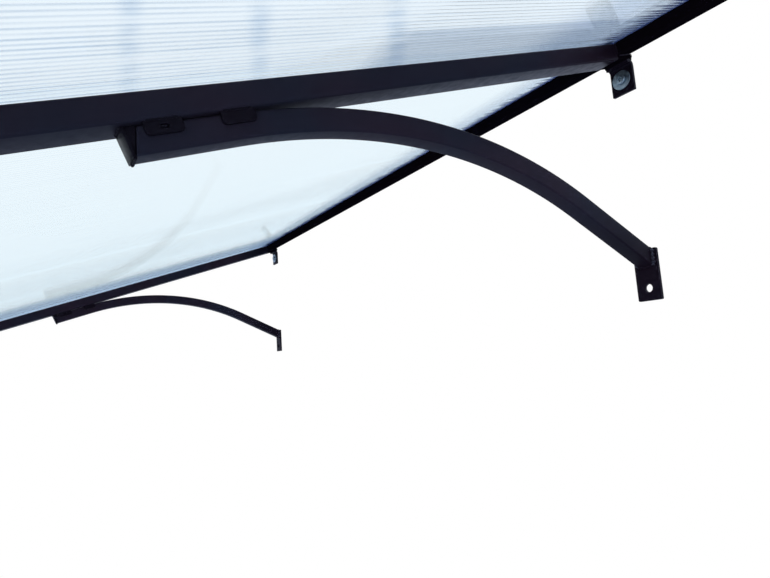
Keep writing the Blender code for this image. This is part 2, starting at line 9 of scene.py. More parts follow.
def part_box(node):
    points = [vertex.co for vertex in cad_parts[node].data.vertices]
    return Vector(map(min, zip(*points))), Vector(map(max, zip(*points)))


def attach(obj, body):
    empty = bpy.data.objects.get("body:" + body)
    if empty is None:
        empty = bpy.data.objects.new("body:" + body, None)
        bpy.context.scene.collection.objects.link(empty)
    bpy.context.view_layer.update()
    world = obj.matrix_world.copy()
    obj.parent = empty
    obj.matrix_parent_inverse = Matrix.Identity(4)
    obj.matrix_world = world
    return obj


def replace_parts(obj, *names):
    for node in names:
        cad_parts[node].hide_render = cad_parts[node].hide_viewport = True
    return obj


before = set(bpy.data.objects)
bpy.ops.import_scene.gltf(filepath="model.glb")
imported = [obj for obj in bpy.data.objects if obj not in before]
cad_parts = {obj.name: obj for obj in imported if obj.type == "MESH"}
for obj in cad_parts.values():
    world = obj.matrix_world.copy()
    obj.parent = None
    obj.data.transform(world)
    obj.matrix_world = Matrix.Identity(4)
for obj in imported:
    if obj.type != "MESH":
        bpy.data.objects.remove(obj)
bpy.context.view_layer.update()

# The frame: five lengths of rectangular steel tube, laid flat and welded into a ladder that slopes down to
# its front. The rail at the high end is a lower tube in notches of the rafters, with all tops level. It is
# sprayed after welding: one skin of black gloss paint runs over tubes and beads, and light catches its edges.

SLOPE = math.radians(18.0)
TUBE_WIDTH = 0.030
TUBE_HEIGHT = 0.020
WALL_RAIL_HEIGHT = 0.015
TUBE_WALL = 0.0015
TUBE_CORNER = 0.0020
CORNER_POINTS = 6
FRAME_DEPTH = 0.800
JOINT_GAP = 0.0003
MERGE = 0.000001
DRIFT_MM = 140.0
DUST_MM = 9.0
PEEL_MM = 1.6
# Painted shade: the paint's colour darkens over this stretch of Y, because little light reaches the frame's
# high end
SHADE_STARTS, SHADE_FULL = -0.15, -0.02
SHADE_DEPTH = 0.8
SHADE_COLOUR = "a08590"
SMOOTH = {"interpolation_type": "SMOOTHSTEP"}

across = np.array([1.0, 0.0, 0.0])
down_slope = np.array([0.0, -math.cos(SLOPE), -math.sin(SLOPE)])
off_slope = np.array([0.0, -math.sin(SLOPE), math.cos(SLOPE)])
left_end, right_end = (corner.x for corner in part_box("wall_rail"))
rafter_places = {
    side: 0.5 * sum(corner.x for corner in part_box("rafter_" + side)) for side in ("left", "middle", "right")
}
plug_low, plug_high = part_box("wall_rail_plug_right")
# A plug's box is its tube's outline leaning by the slope. From its lower back corner it is the rail's rest
# height down to the rafters' lower faces, at their high ends
rail_rest = TUBE_HEIGHT - WALL_RAIL_HEIGHT
rail_corner = np.array([0.0, plug_high.y, plug_low.z + TUBE_WIDTH * math.sin(SLOPE)])
wall_corner = rail_corner - rail_rest * off_slope


def on_frame(x, down, up=0.0):
    """Points at x along the rails, so far down the slope from the high end, and up off the frame's lower
    face: the corner + x * across + down * the slope's direction + up * the direction square to it."""
    x, down, up = (value[..., None] for value in np.broadcast_arrays(x, down, up))
    return wall_corner + x * across + down * down_slope + up * off_slope


def linear_colour(hexadecimal):
    """An sRGB colour of six hexadecimal digits, as linear red, green, blue and an alpha of one: a channel up
    to 0.04045 over 12.92, and a higher one with 0.055 added, over 1.055, to the power of 2.4."""
    channels = [int(hexadecimal[i:i + 2], 16) / 255 for i in (0, 2, 4)]
    return [c / 12.92 if c <= 0.04045 else ((c + 0.055) / 1.055) ** 2.4 for c in channels] + [1.0]


def add_node(material, kind, settings=None, links=None, **fields):
    """Adds one node: fields are its own properties, settings its sockets' values, and links what feeds its
    sockets, which is an output, or else a node, for its first output."""
    tree = material.node_tree
    node = tree.nodes.new(kind)
    for name, value in fields.items():
        setattr(node, name, value)
    for socket, value in (settings or {}).items():
        node.inputs[socket].default_value = value
    for socket, source in (links or {}).items():
        output = source if isinstance(source, bpy.types.NodeSocket) else source.outputs[0]
        tree.links.new(output, node.inputs[socket])
    return node


def blank_material(name):
    """A material with no nodes but the coordinates that its patterns read."""
    material = bpy.data.materials.new(name)
    material.use_nodes = True
    material.node_tree.nodes.clear()
    return material, add_node(material, "ShaderNodeTexCoord").outputs["Object"]


def sprayed_gloss_black(name, ink, plum, gloss_level):
    """Solvent gloss enamel sprayed on mild steel. The eye sees near-black that drifts between ink blue and
    plum, a faint orange peel, and dust that takes the shine down in patches. Towards the frame's high end
    the colour is darkened as painted shade."""
    material, place = blank_material(name)
    drift = add_node(material, "ShaderNodeTexNoise", {"Scale": 1000.0 / DRIFT_MM}, {"Vector": place})
    tint = add_node(material, "ShaderNodeValToRGB", links={"Fac": drift})
    for stop, position, colour in zip(tint.color_ramp.elements, (0.36, 0.66), (ink, plum)):
        stop.position, stop.color = position, linear_colour(colour)
    # Painted shade: the colour is multiplied darker towards the frame's high end
    out = add_node(material, "ShaderNodeSeparateXYZ", links={0: place}).outputs["Y"]
    reach = {"From Min": SHADE_STARTS, "From Max": SHADE_FULL, "To Max": SHADE_DEPTH}
    painted_shade_share = add_node(material, "ShaderNodeMapRange", reach, {"Value": out}, **SMOOTH)
    shade = {2: linear_colour(SHADE_COLOUR)}
    shaded = add_node(material, "ShaderNodeMixRGB", shade, {0: painted_shade_share, 1: tint}, blend_type="MULTIPLY")
    lumps = {"Scale": 1000.0 / DUST_MM, "Detail": 6.0, "Roughness": 0.62}
    dust = add_node(material, "ShaderNodeTexNoise", lumps, {"Vector": place})
    duller = {"From Min": 0.35, "From Max": 0.70, "To Min": 0.30, "To Max": 0.44}
    shine = add_node(material, "ShaderNodeMapRange", duller, {"Value": dust})
    grain = {"Scale": 1000.0 / PEEL_MM, "Detail": 1.0}
    peel = add_node(material, "ShaderNodeTexNoise", grain, {"Vector": place})
    relief = add_node(material, "ShaderNodeBump", {"Strength": 0.10, "Distance": 0.0002}, {"Height": peel})
    gloss = {"IOR": 1.5, "Specular IOR Level": gloss_level, "Specular Tint": linear_colour("c9d6f2")}
    patterns = {"Base Color": shaded, "Roughness": shine, "Normal": relief}
    paint = add_node(material, "ShaderNodeBsdfPrincipled", gloss, patterns)
    add_node(material, "ShaderNodeOutputMaterial", links={"Surface": paint})
    return material


def round_cornered(width, height, radius):
    """Outline of a rectangle with round corners: each corner's centre plus a quarter circle about it."""
    turn = np.linspace(0.0, 0.5 * np.pi, CORNER_POINTS)
    starts = np.arange(4)[:, None] * 0.5 * np.pi
    angles = (starts + turn[None, :]).ravel()
    corner_x = np.repeat([1.0, -1.0, -1.0, 1.0], CORNER_POINTS) * (0.5 * width - radius)
    corner_y = np.repeat([1.0, 1.0, -1.0, -1.0], CORNER_POINTS) * (0.5 * height - radius)
    return np.stack([corner_x + radius * np.cos(angles), corner_y + radius * np.sin(angles)], axis=1)


def carried(centres, sides, ups, outline):
    """A grid of points: at each station, its centre plus the outline's first part sideways, its second up."""
    sideways, upwards = outline[None, :, :1], outline[None, :, 1:]
    return centres[:, None] + sideways * sides[:, None] + upwards * ups[:, None]


def grid_faces(grid, closed_along):
    """Each point of a grid joined to its neighbours, round each row, and from the last row to the first if
    asked. The sum of each face's corner times its area vector is positive when faces point out, and else
    they are turned."""
    rows, columns, _ = grid.shape
    lower = np.arange(rows if closed_along else rows - 1)[:, None]
    column = np.arange(columns)[None, :]
    upper, after = (lower + 1) % rows, (column + 1) % columns
    low_row, high_row = lower * columns, upper * columns
    corners = [low_row + column, low_row + after, high_row + after, high_row + column]
    faces = np.stack([corner.ravel() for corner in corners], axis=1)
    a, b, c, d = (grid.reshape(-1, 3)[faces[:, i]] for i in range(4))
    outward = np.sum(a * (np.cross(b - a, c - a) + np.cross(c - a, d - a)))
    return faces if outward > 0.0 else faces[:, ::-1]


def grid_piece(name, grids, material, closed_along=False, sharp=40.0):
    """One piece from one or more grids. Rows that close to a point merge there, so no pole stays open."""
    offsets = np.cumsum([0] + [grid.shape[0] * grid.shape[1] for grid in grids[:-1]])
    faces = np.concatenate([grid_faces(grid, closed_along) + start for grid, start in zip(grids, offsets)])
    points = np.concatenate([grid.reshape(-1, 3) for grid in grids])
    mesh = bpy.data.meshes.new(name)
    mesh.from_pydata(points.tolist(), [], faces.tolist())
    merged = bmesh.new()
    merged.from_mesh(mesh)
    bmesh.ops.remove_doubles(merged, verts=merged.verts, dist=MERGE)
    merged.to_mesh(mesh)
    merged.free()
    mesh.shade_smooth()
    mesh.set_sharp_from_angle(angle=math.radians(sharp))
    mesh.materials.append(material)
    piece = bpy.data.objects.new(name, mesh)
    bpy.context.scene.collection.objects.link(piece)
    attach(piece, "root")
    return piece


def straight_tube(name, start, end, side, up, height, paint):
    """A tube's skin: its outer outline carried from start to end and its inner one back, with joined ends."""
    outer = round_cornered(TUBE_WIDTH, height, TUBE_CORNER)
    inner = round_cornered(TUBE_WIDTH - 2 * TUBE_WALL, height - 2 * TUBE_WALL, TUBE_CORNER - TUBE_WALL)
    stations = np.array([start, end]), np.array([side, side]), np.array([up, up])
    skin = np.concatenate([carried(*stations, outer), carried(*stations, inner)[::-1]])
    return grid_piece(name, [skin], paint, closed_along=True)


def rafter_foot(side, x):
    """The low part of a rafter under the rail in its notch: a path down one side, across the bottom and up
    the other, with the tube's outer and inner skin at both of its ends for columns. The path's own ends close
    to points."""
    floor = rail_rest - JOINT_GAP
    edges = []
    for wall in (0.0, TUBE_WALL):
        lip = 0.5 * TUBE_WIDTH - wall
        outline = round_cornered(TUBE_WIDTH - 2 * wall, TUBE_HEIGHT - 2 * wall, TUBE_CORNER - wall)
        path = outline[2 * CORNER_POINTS:] + [0.0, 0.5 * TUBE_HEIGHT]
        edges.append(np.concatenate([[[-lip, floor]], path, [[lip, floor]]]))
    outer, inner = edges
    corners = [(outer, 0.0), (outer, TUBE_WIDTH), (inner, TUBE_WIDTH), (inner, 0.0)]
    grid = np.stack([on_frame(x + path[:, 0], down, path[:, 1]) for path, down in corners], axis=1)
    closing = np.repeat(grid[[0, -1]].mean(axis=1, keepdims=True), 4, axis=1)
    grid = np.concatenate([closing[:1], grid, closing[1:]])
    return grid_piece("rafter_foot_" + side, [grid], painted_shade_enamel)


enamel = sprayed_gloss_black("sprayed_gloss_black_enamel", "232430", "2c222d", 0.05)
# Painted shade: a duller, blacker copy of the same paint, without gloss, on and beside the rail at the
# high end, where little light reaches it
painted_shade_enamel = sprayed_gloss_black("sprayed_gloss_black_enamel_painted_shade_copy", "15151d", "1a151b", 0.0)
rail_rows = {
    "wall_rail": (0.5 * TUBE_WIDTH, WALL_RAIL_HEIGHT, painted_shade_enamel),
    "front_rail": (FRAME_DEPTH - 0.5 * TUBE_WIDTH, TUBE_HEIGHT, enamel),
}
for node, (down, height, paint) in rail_rows.items():
    ends = on_frame(np.array([left_end, right_end]), down, TUBE_HEIGHT - 0.5 * height)
    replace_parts(straight_tube(node + "_tube", *ends, down_slope, off_slope, height, paint), node)
for side, x in rafter_places.items():
    downs = np.array([TUBE_WIDTH + JOINT_GAP, FRAME_DEPTH - TUBE_WIDTH - JOINT_GAP])
    ends = on_frame(x, downs, 0.5 * TUBE_HEIGHT)
    tube = straight_tube("rafter_tube_" + side, *ends, across, off_slope, TUBE_HEIGHT, enamel)
    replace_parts(tube, "rafter_" + side)
    rafter_foot(side, x)

# Support arms: square tube rolled to one arc between two straight runs, one under each rafter. Both ends are
# sawn upright: the lower butts on its plate, and the outer stands behind the plate that closes it.

ARM_SIZE = 0.020
ARM_REACH = 0.569
ARM_LEAD = 0.076
ARM_BEND_RADIUS = 0.517
ARM_WALL_ANGLE = math.radians(25.5)
ARM_GAP = 0.0010
PLATE_THICKNESS = 0.0040
BEND_STATIONS = 48


def underside(out):
    """Height of the frame's lower face so far out: the corner's height less the slope's tangent * out."""
    return wall_corner[2] - math.tan(SLOPE) * out


def arm_stations():
    """Centres and headings of an arm's sections: along the rafter's line, then round the bend by even turns,
    where out and height change by the radius * the change in the turn's sine and cosine, then straight on."""
    to_centre = (ARM_GAP + 0.5 * ARM_SIZE) / math.cos(SLOPE)
    outs = np.array([ARM_REACH, ARM_REACH - ARM_LEAD * math.cos(SLOPE)])
    lead = np.stack([outs, underside(outs) - to_centre], axis=1)
    climb = np.linspace(SLOPE, -ARM_WALL_ANGLE, BEND_STATIONS)
    bend_out = outs[1] - ARM_BEND_RADIUS * (math.sin(SLOPE) - np.sin(climb))
    bend_up = lead[1, 1] + ARM_BEND_RADIUS * (np.cos(climb) - math.cos(SLOPE))
    wall_out = PLATE_THICKNESS + JOINT_GAP
    wall_up = bend_up[-1] - math.tan(ARM_WALL_ANGLE) * (bend_out[-1] - wall_out)
    outs = np.concatenate([lead[:1, 0], bend_out, [wall_out]])
    heights = np.concatenate([lead[:1, 1], bend_up, [wall_up]])
    headings = np.concatenate([[SLOPE], climb, [-ARM_WALL_ANGLE]])
    return outs, heights, headings


def sawn_upright(ring, heading, out):
    """Slides each point of a section along its tube, until all lie in the upright plane so far out."""
    slide = (-out - ring[:, 1]) / heading[1]
    return ring + slide[:, None] * heading[None, :]


def arm_tube(side, x):
    """An arm's skin: a round-cornered square carried along its line, outside and back, with upright ends."""
    outs, heights, climb = arm_stations()
    centres = np.stack([np.full(outs.shape, x), -outs, heights], axis=1)
    headings = np.stack([np.zeros_like(climb), np.cos(climb), np.sin(climb)], axis=1)
    ups = np.stack([np.zeros_like(climb), -np.sin(climb), np.cos(climb)], axis=1)
    sides = np.repeat(across[None, :], outs.size, axis=0)
    skins = []
    for wall in (0.0, TUBE_WALL):
        outline = round_cornered(ARM_SIZE - 2 * wall, ARM_SIZE - 2 * wall, TUBE_CORNER - wall)
        skin = carried(centres, sides, ups, outline)
        skin[0] = sawn_upright(skin[0], headings[0], outs[0])
        skin[-1] = sawn_upright(skin[-1], headings[-1], outs[-1])
        skins.append(skin)
    both = np.concatenate([skins[0], skins[1][::-1]])
    return grid_piece("arm_tube_" + side, [both], enamel, closed_along=True)


for side, x in rafter_places.items():
    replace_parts(arm_tube(side, x), "arm_" + side)

# Flat bar parts: foot plates, bent tabs, end plates and lugs, cropped from bar, drilled, then welded on and
# sprayed with the frame. Cropping and tumbling leave their edges a little round.

EDGE_ROUND = 0.0004
EDGE_STEPS = 2
SMOOTH_ANGLE = math.radians(35.0)


def eased_edges(node, width):
    """Joins a CAD piece's loose faces and rounds its edges, as modifiers, so its own mesh stays as it is."""
    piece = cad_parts[node]
    weld = piece.modifiers.new("joined", "WELD")
    weld.merge_threshold = MERGE
    bevel = piece.modifiers.new("edges", "BEVEL")
    bevel.width = width
    bevel.segments = EDGE_STEPS
    bevel.limit_method = "ANGLE"
    bevel.angle_limit = SMOOTH_ANGLE


def finished(prefixes, material, edge=None):
    """Gives the CAD pieces whose names start so their finish, and eases their edges if a width is given."""
    for node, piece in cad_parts.items():
        if node.startswith(prefixes):
            piece.data.materials.clear()
            piece.data.materials.append(material)
            if edge:
                eased_edges(node, edge)


finished(("arm_wall_plate", "wall_tab"), enamel, EDGE_ROUND)
# Painted shade: the lugs and end plates lie in the gap between rafter and arm, and get a blacker copy of
# the same paint for the shade there
gap_shade_enamel = sprayed_gloss_black("sprayed_gloss_black_enamel_painted_gap_shade", "15131b", "19131b", 0.05)
finished(("arm_end_plate", "arm_lug"), gap_shade_enamel, EDGE_ROUND)

# Weld beads: short runs of wire weld where rafters meet rails, round the arms' feet, beside the tabs and
# lugs, and plug welds that fill the outer lugs' slots. They are ripply half-round ridges under the paint.

BEAD_RADIUS = 0.0019
SLIM_BEAD_RADIUS = 0.0014
TAB_SIDE_BEAD_RADIUS = 0.0011
NOTCH_BEAD_RADIUS = 0.0017
END_PLATE_BEAD_RADIUS = 0.0012
LUG_BEAD_RADIUS = 0.0011
BEAD_RIPPLE = 0.0022
BEAD_RISE = 0.10
BEAD_WANDER = 0.09
# Radius, ripple and rise of the beads beside the arms' feet
LUMPY_BEAD = (0.0030, 0.0046, 0.30)
STATIONS_PER_RIPPLE, LEAST_STATIONS = 8, 9
BEAD_POINTS = 12
MOSTLY_ACROSS = 0.9
# Where beads start and stop short of corners, and how far they stand off a face or sink into it
CORNER_MARGIN = 0.001
UNDER_RAIL_START, UNDER_RAIL_MARGIN = 0.004, 0.002
FLUSH_BEAD_SINK = 0.0007
NOTCH_BEAD_OUT, NOTCH_BEAD_DROP = 0.0023, 0.0020
FOOT_BEAD_LIFT, FOOT_BEAD_INSET = 0.0008, 0.0005
# Shares of the rafter's width, the tab's leg, the arm's size, and the lug's length and thickness
FLUSH_BEAD_SHARE = 0.9
TAB_BEAD_START_SHARE = 0.75
END_PLATE_BEAD_SHARE = 0.45
LUG_BEAD_SHARE = 0.42
PLUG_WELD_SINK_SHARE = 0.4
LUG_LENGTH = 0.0265
LUG_HEIGHT = 0.010
LUG_THICKNESS = 0.0030
SLOT_LENGTH = 0.0070
SLOT_WIDTH = 0.0030
PLATE_WIDTH = 0.030
TAB_LEG = 0.013

random_welder = np.random.default_rng(4)


def bead(start, end, radius=BEAD_RADIUS, ripple=BEAD_RIPPLE, rise=BEAD_RISE):
    """A ridge along a line: a circle whose radius is multiplied by one plus the rise * the cosine of the
    ripple's turn, wanders a little from ripple to ripple, and closes as a half circle at both ends."""
    start, end = np.asarray(start), np.asarray(end)
    length = np.linalg.norm(end - start)
    heading = (end - start) / length
    first = np.cross(heading, across if abs(heading[0]) < MOSTLY_ACROSS else [0.0, 0.0, 1.0])
    first /= np.linalg.norm(first)
    second = np.cross(heading, first)
    stations = max(LEAST_STATIONS, int(STATIONS_PER_RIPPLE * length / ripple))
    along = 0.5 * (1.0 - np.cos(np.linspace(0.0, np.pi, stations))) * length
    from_tip = np.minimum(along, length - along)
    tip = np.sqrt(np.clip(1.0 - (1.0 - from_tip / radius).clip(0.0) ** 2, 0.0, 1.0))
    swell = 1.0 + rise * np.cos(2.0 * np.pi * along / ripple)
    marks = np.arange(int(length / ripple) + 3) * ripple
    wander = np.interp(along, marks, random_welder.normal(0.0, BEAD_WANDER, marks.size))
    rings = radius * tip * (swell + wander)
    angles = np.linspace(0.0, 2.0 * np.pi, BEAD_POINTS, endpoint=False)
    round_it = np.cos(angles)[:, None] * first + np.sin(angles)[:, None] * second
    return start + along[:, None, None] * heading + rings[:, None, None] * round_it[None, :, :]


def rafter_beads(x):
    """A low bead across the flush undersides at the front rail. Then, on each side of a rafter that a rail
    runs on from, upright ones in the corners with both rails' faces, and one under the rail at the high end.
    """
    half = 0.5 * TUBE_WIDTH
    front = FRAME_DEPTH - TUBE_WIDTH
    low, high = CORNER_MARGIN, TUBE_HEIGHT - CORNER_MARGIN
    flush = on_frame(x + FLUSH_BEAD_SHARE * np.array([-half, half]), front, FLUSH_BEAD_SINK)
    beads = [bead(*flush, SLIM_BEAD_RADIUS)]
    under_rail = np.array([UNDER_RAIL_START, TUBE_WIDTH - UNDER_RAIL_MARGIN])
    for hand in (x - half, x + half):
        if left_end + half < hand < right_end - half:
            beads.append(bead(*on_frame(hand, front, np.array([low, high]))))
            beads.append(bead(*on_frame(hand, TUBE_WIDTH, np.array([rail_rest + low, high]))))
            beads.append(bead(*on_frame(hand, under_rail, rail_rest), SLIM_BEAD_RADIUS))
    return beads


def tab_beads(x):
    """Beads under a rafter's high end: beside the tab's short upper leg, across its end and over its bend."""
    half = 0.5 * PLATE_WIDTH
    run = np.array([TAB_BEAD_START_SHARE * TAB_LEG, TAB_LEG])
    beads = [bead(*on_frame(x + hand, run), TAB_SIDE_BEAD_RADIUS) for hand in (-half, half)]
    beads.append(bead(*on_frame(x + np.array([-half, half]), TAB_LEG), SLIM_BEAD_RADIUS))
    notch = wall_corner + [x, -NOTCH_BEAD_OUT, -NOTCH_BEAD_DROP]
    return beads + [bead(notch - half * across, notch + half * across, NOTCH_BEAD_RADIUS)]


def foot_beads(x, picked, *shape):
    """Beads round the arm's upright sawn end, on its plate: the picked ones of below, right, above, left."""
    _, heights, _ = arm_stations()
    face = np.array([x, -PLATE_THICKNESS - FOOT_BEAD_LIFT, heights[-1]])
    half, rise = 0.5 * ARM_SIZE, 0.5 * ARM_SIZE / math.cos(ARM_WALL_ANGLE) - FOOT_BEAD_INSET
    corners = [face + [s * half, 0.0, t * rise] for s, t in ((-1, -1), (1, -1), (1, 1), (-1, 1))]
    return [bead(corners[i], corners[(i + 1) % 4], *shape) for i in picked]


def end_plate_beads(side, x):
    """Beads along the end plate's upper edge under the rafter, and where it meets the arm's lower edge."""
    low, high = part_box("arm_end_plate_" + side)
    half = END_PLATE_BEAD_SHARE * ARM_SIZE
    top = np.array([x, low.y, underside(-low.y)])
    foot = np.array([x, high.y, low.z])
    radius = END_PLATE_BEAD_RADIUS
    return [bead(place - half * across, place + half * across, radius) for place in (top, foot)]


def lug_beads(side, x):
    """A bead along each lug's upper edge, and a plug weld in each outer lug's slot, on the arm's side."""
    beads = []
    for row in ("outer", "inner"):
        for hand, sign in (("l", -1.0), ("r", 1.0)):
            low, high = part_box("arm_lug_{}_{}_{}".format(side, row, hand))
            middle = 0.5 * np.array(low) + 0.5 * np.array(high)
            edge = middle + 0.5 * LUG_HEIGHT * off_slope + sign * 0.5 * LUG_THICKNESS * across
            run = LUG_BEAD_SHARE * LUG_LENGTH * down_slope
            beads.append(bead(edge - run, edge + run, LUG_BEAD_RADIUS))
            if row == "outer":
                slot = middle - sign * PLUG_WELD_SINK_SHARE * LUG_THICKNESS * across
                reach = 0.5 * SLOT_LENGTH * down_slope
                beads.append(bead(slot - reach, slot + reach, 0.5 * SLOT_WIDTH))
    return beads


# Painted highlight: the lumpy beads beside the arms' feet get a lighter, glossier copy of the paint, so
# they catch the light
highlight_enamel = sprayed_gloss_black("sprayed_gloss_black_enamel_painted_bead_highlight", "2e2f3a", "342f38", 0.5)
for side, x in rafter_places.items():
    # Beads by the rail take the painted-shade copy of the paint, beads in the gap the gap's painted-shade
    # copy, and the lumpy beads beside the feet the painted-highlight copy
    welded = {
        "rafter_welds_": (rafter_beads(x), enamel),
        "tab_welds_": (tab_beads(x), painted_shade_enamel),
        "arm_foot_welds_": (foot_beads(x, (0, 2)), enamel),
        "arm_foot_side_welds_": (foot_beads(x, (1, 3), *LUMPY_BEAD), highlight_enamel),
        "end_plate_welds_": (end_plate_beads(side, x), gap_shade_enamel),
        "lug_welds_": (lug_beads(side, x), gap_shade_enamel),
    }
    for name, (beads, paint) in welded.items():
        grid_piece(name + side, beads, paint, sharp=80.0)

# Rail plugs: black polyethylene, moulded, with a flat flange as large as the tube, pushed into the four open
# ends. They are duller and greyer than the paint beside them.

PLUG_EDGE = 0.0005
PLUG_CLOUD_MM, PLUG_GRAIN_MM = 12.0, 0.8


def moulded_black_polyethylene():
    """Injection-moulded polyethylene: an even soft black, with the fine grain of a spark-eroded mould."""
    material, place = blank_material("moulded_black_polyethylene")
    cloud = add_node(material, "ShaderNodeTexNoise", {"Scale": 1000.0 / PLUG_CLOUD_MM}, {"Vector": place})
    shade = add_node(material, "ShaderNodeValToRGB", links={"Fac": cloud})
    for stop, colour in zip(shade.color_ramp.elements, ("1b1b1d", "262628")):
        stop.color = linear_colour(colour)
    grain = add_node(material, "ShaderNodeTexNoise", {"Scale": 1000.0 / PLUG_GRAIN_MM}, {"Vector": place})
    relief = add_node(material, "ShaderNodeBump", {"Strength": 0.25, "Distance": 0.0001}, {"Height": grain})
    soft = {"IOR": 1.51, "Roughness": 0.55}
    plastic = add_node(material, "ShaderNodeBsdfPrincipled", soft, {"Base Color": shade, "Normal": relief})
    add_node(material, "ShaderNodeOutputMaterial", links={"Surface": plastic})
    return material


finished(("wall_rail_plug", "front_rail_plug"), moulded_black_polyethylene(), PLUG_EDGE)

# Twin-wall sheets: extruded polycarbonate, two thin skins on ribs, so that flutes run down the slope. Each
# rib draws a fine dull line on the lower skin. The near bay has three slanting darker smears. Beside a
# rafter each bay has a darker strip, a painted reflection of the rafter, and the flutes' upper ends at the
# rail have dirt and painted shade.

FLUTE_PITCH = 0.0050
SKIN = 0.0004
SHEET_UNDERSIDE = 0.0203
SHEET_ROUGHNESS = 0.03
CLEAR_COLOUR = "feffff"
LINE_COLOUR = "b6cae0"
LINE_REACH = 0.33
FAINTEST_LINE_SHARE = 0.25
# Between these two places down the slope the lines fade in
LINES_FADED_TO, LINES_FULL_FROM, FADED_SHARE = 0.25, 0.55, 0.42
# Patches along the flutes, five times as long as wide, make the lines stronger and weaker
PATCH_MM = 12.0
PATCH_STRETCH = (1.0, 0.2, 0.2)
# Each smear: its place down the slope at the rafter, how far it slants for each metre along, its half width
SLANTING_SMEARS = ((0.595, 0.14, 0.010), (0.498, 0.37, 0.012), (0.361, 0.70, 0.016))
SMEARS_FADE_AT = 0.10
SMEARS_END_AT = 0.26
SMEAR_DEPTH = 0.55
SMEAR_COLOUR = "cfdceb"
SHADY_FADE = 0.09
SHADY_COLOUR = "dae1ec"
STRIP_END_FADE = 0.03
DIRT_AND_SHADE_COLOUR = "22356a"
DIRT_AND_SHADE_BAND, BAND_DEPTH = 0.010, 0.93
TOOTH_DEPTH, BETWEEN_TEETH_SHARE = 2.0, 0.30
FALLING = {"To Min": 1.0, "To Max": 0.0}
# What differs between the bays. Polycarbonate's own IOR is 1.585, but so many thin walls would then look too
# dark in a white studio, and a lower one looks true. The far bay, seen at the flattest angle, has the lowest
NEAR_BAY = {
    "name": "clear_polycarbonate_near", "seen_ior": 1.06, "ground": "edf6fe", "line_depth": 1.0,
    "shady_to": 0.11, "dirt_and_shade": (0.032, 0.060), "smears": SLANTING_SMEARS,
    "strip_to": 0.072, "strip_soft": 0.004, "strip_ends": 0.39, "reflection_tint": "d9dfe8",
}
FAR_BAY = {
    "name": "clear_polycarbonate_far", "seen_ior": 1.014, "ground": "eff8fe", "line_depth": 0.12,
    "shady_to": 0.01, "dirt_and_shade": (0.012, 0.032), "smears": (),
    "strip_to": -1.02, "strip_soft": 0.07, "strip_ends": 1.0, "reflection_tint": "d2dcec",
}


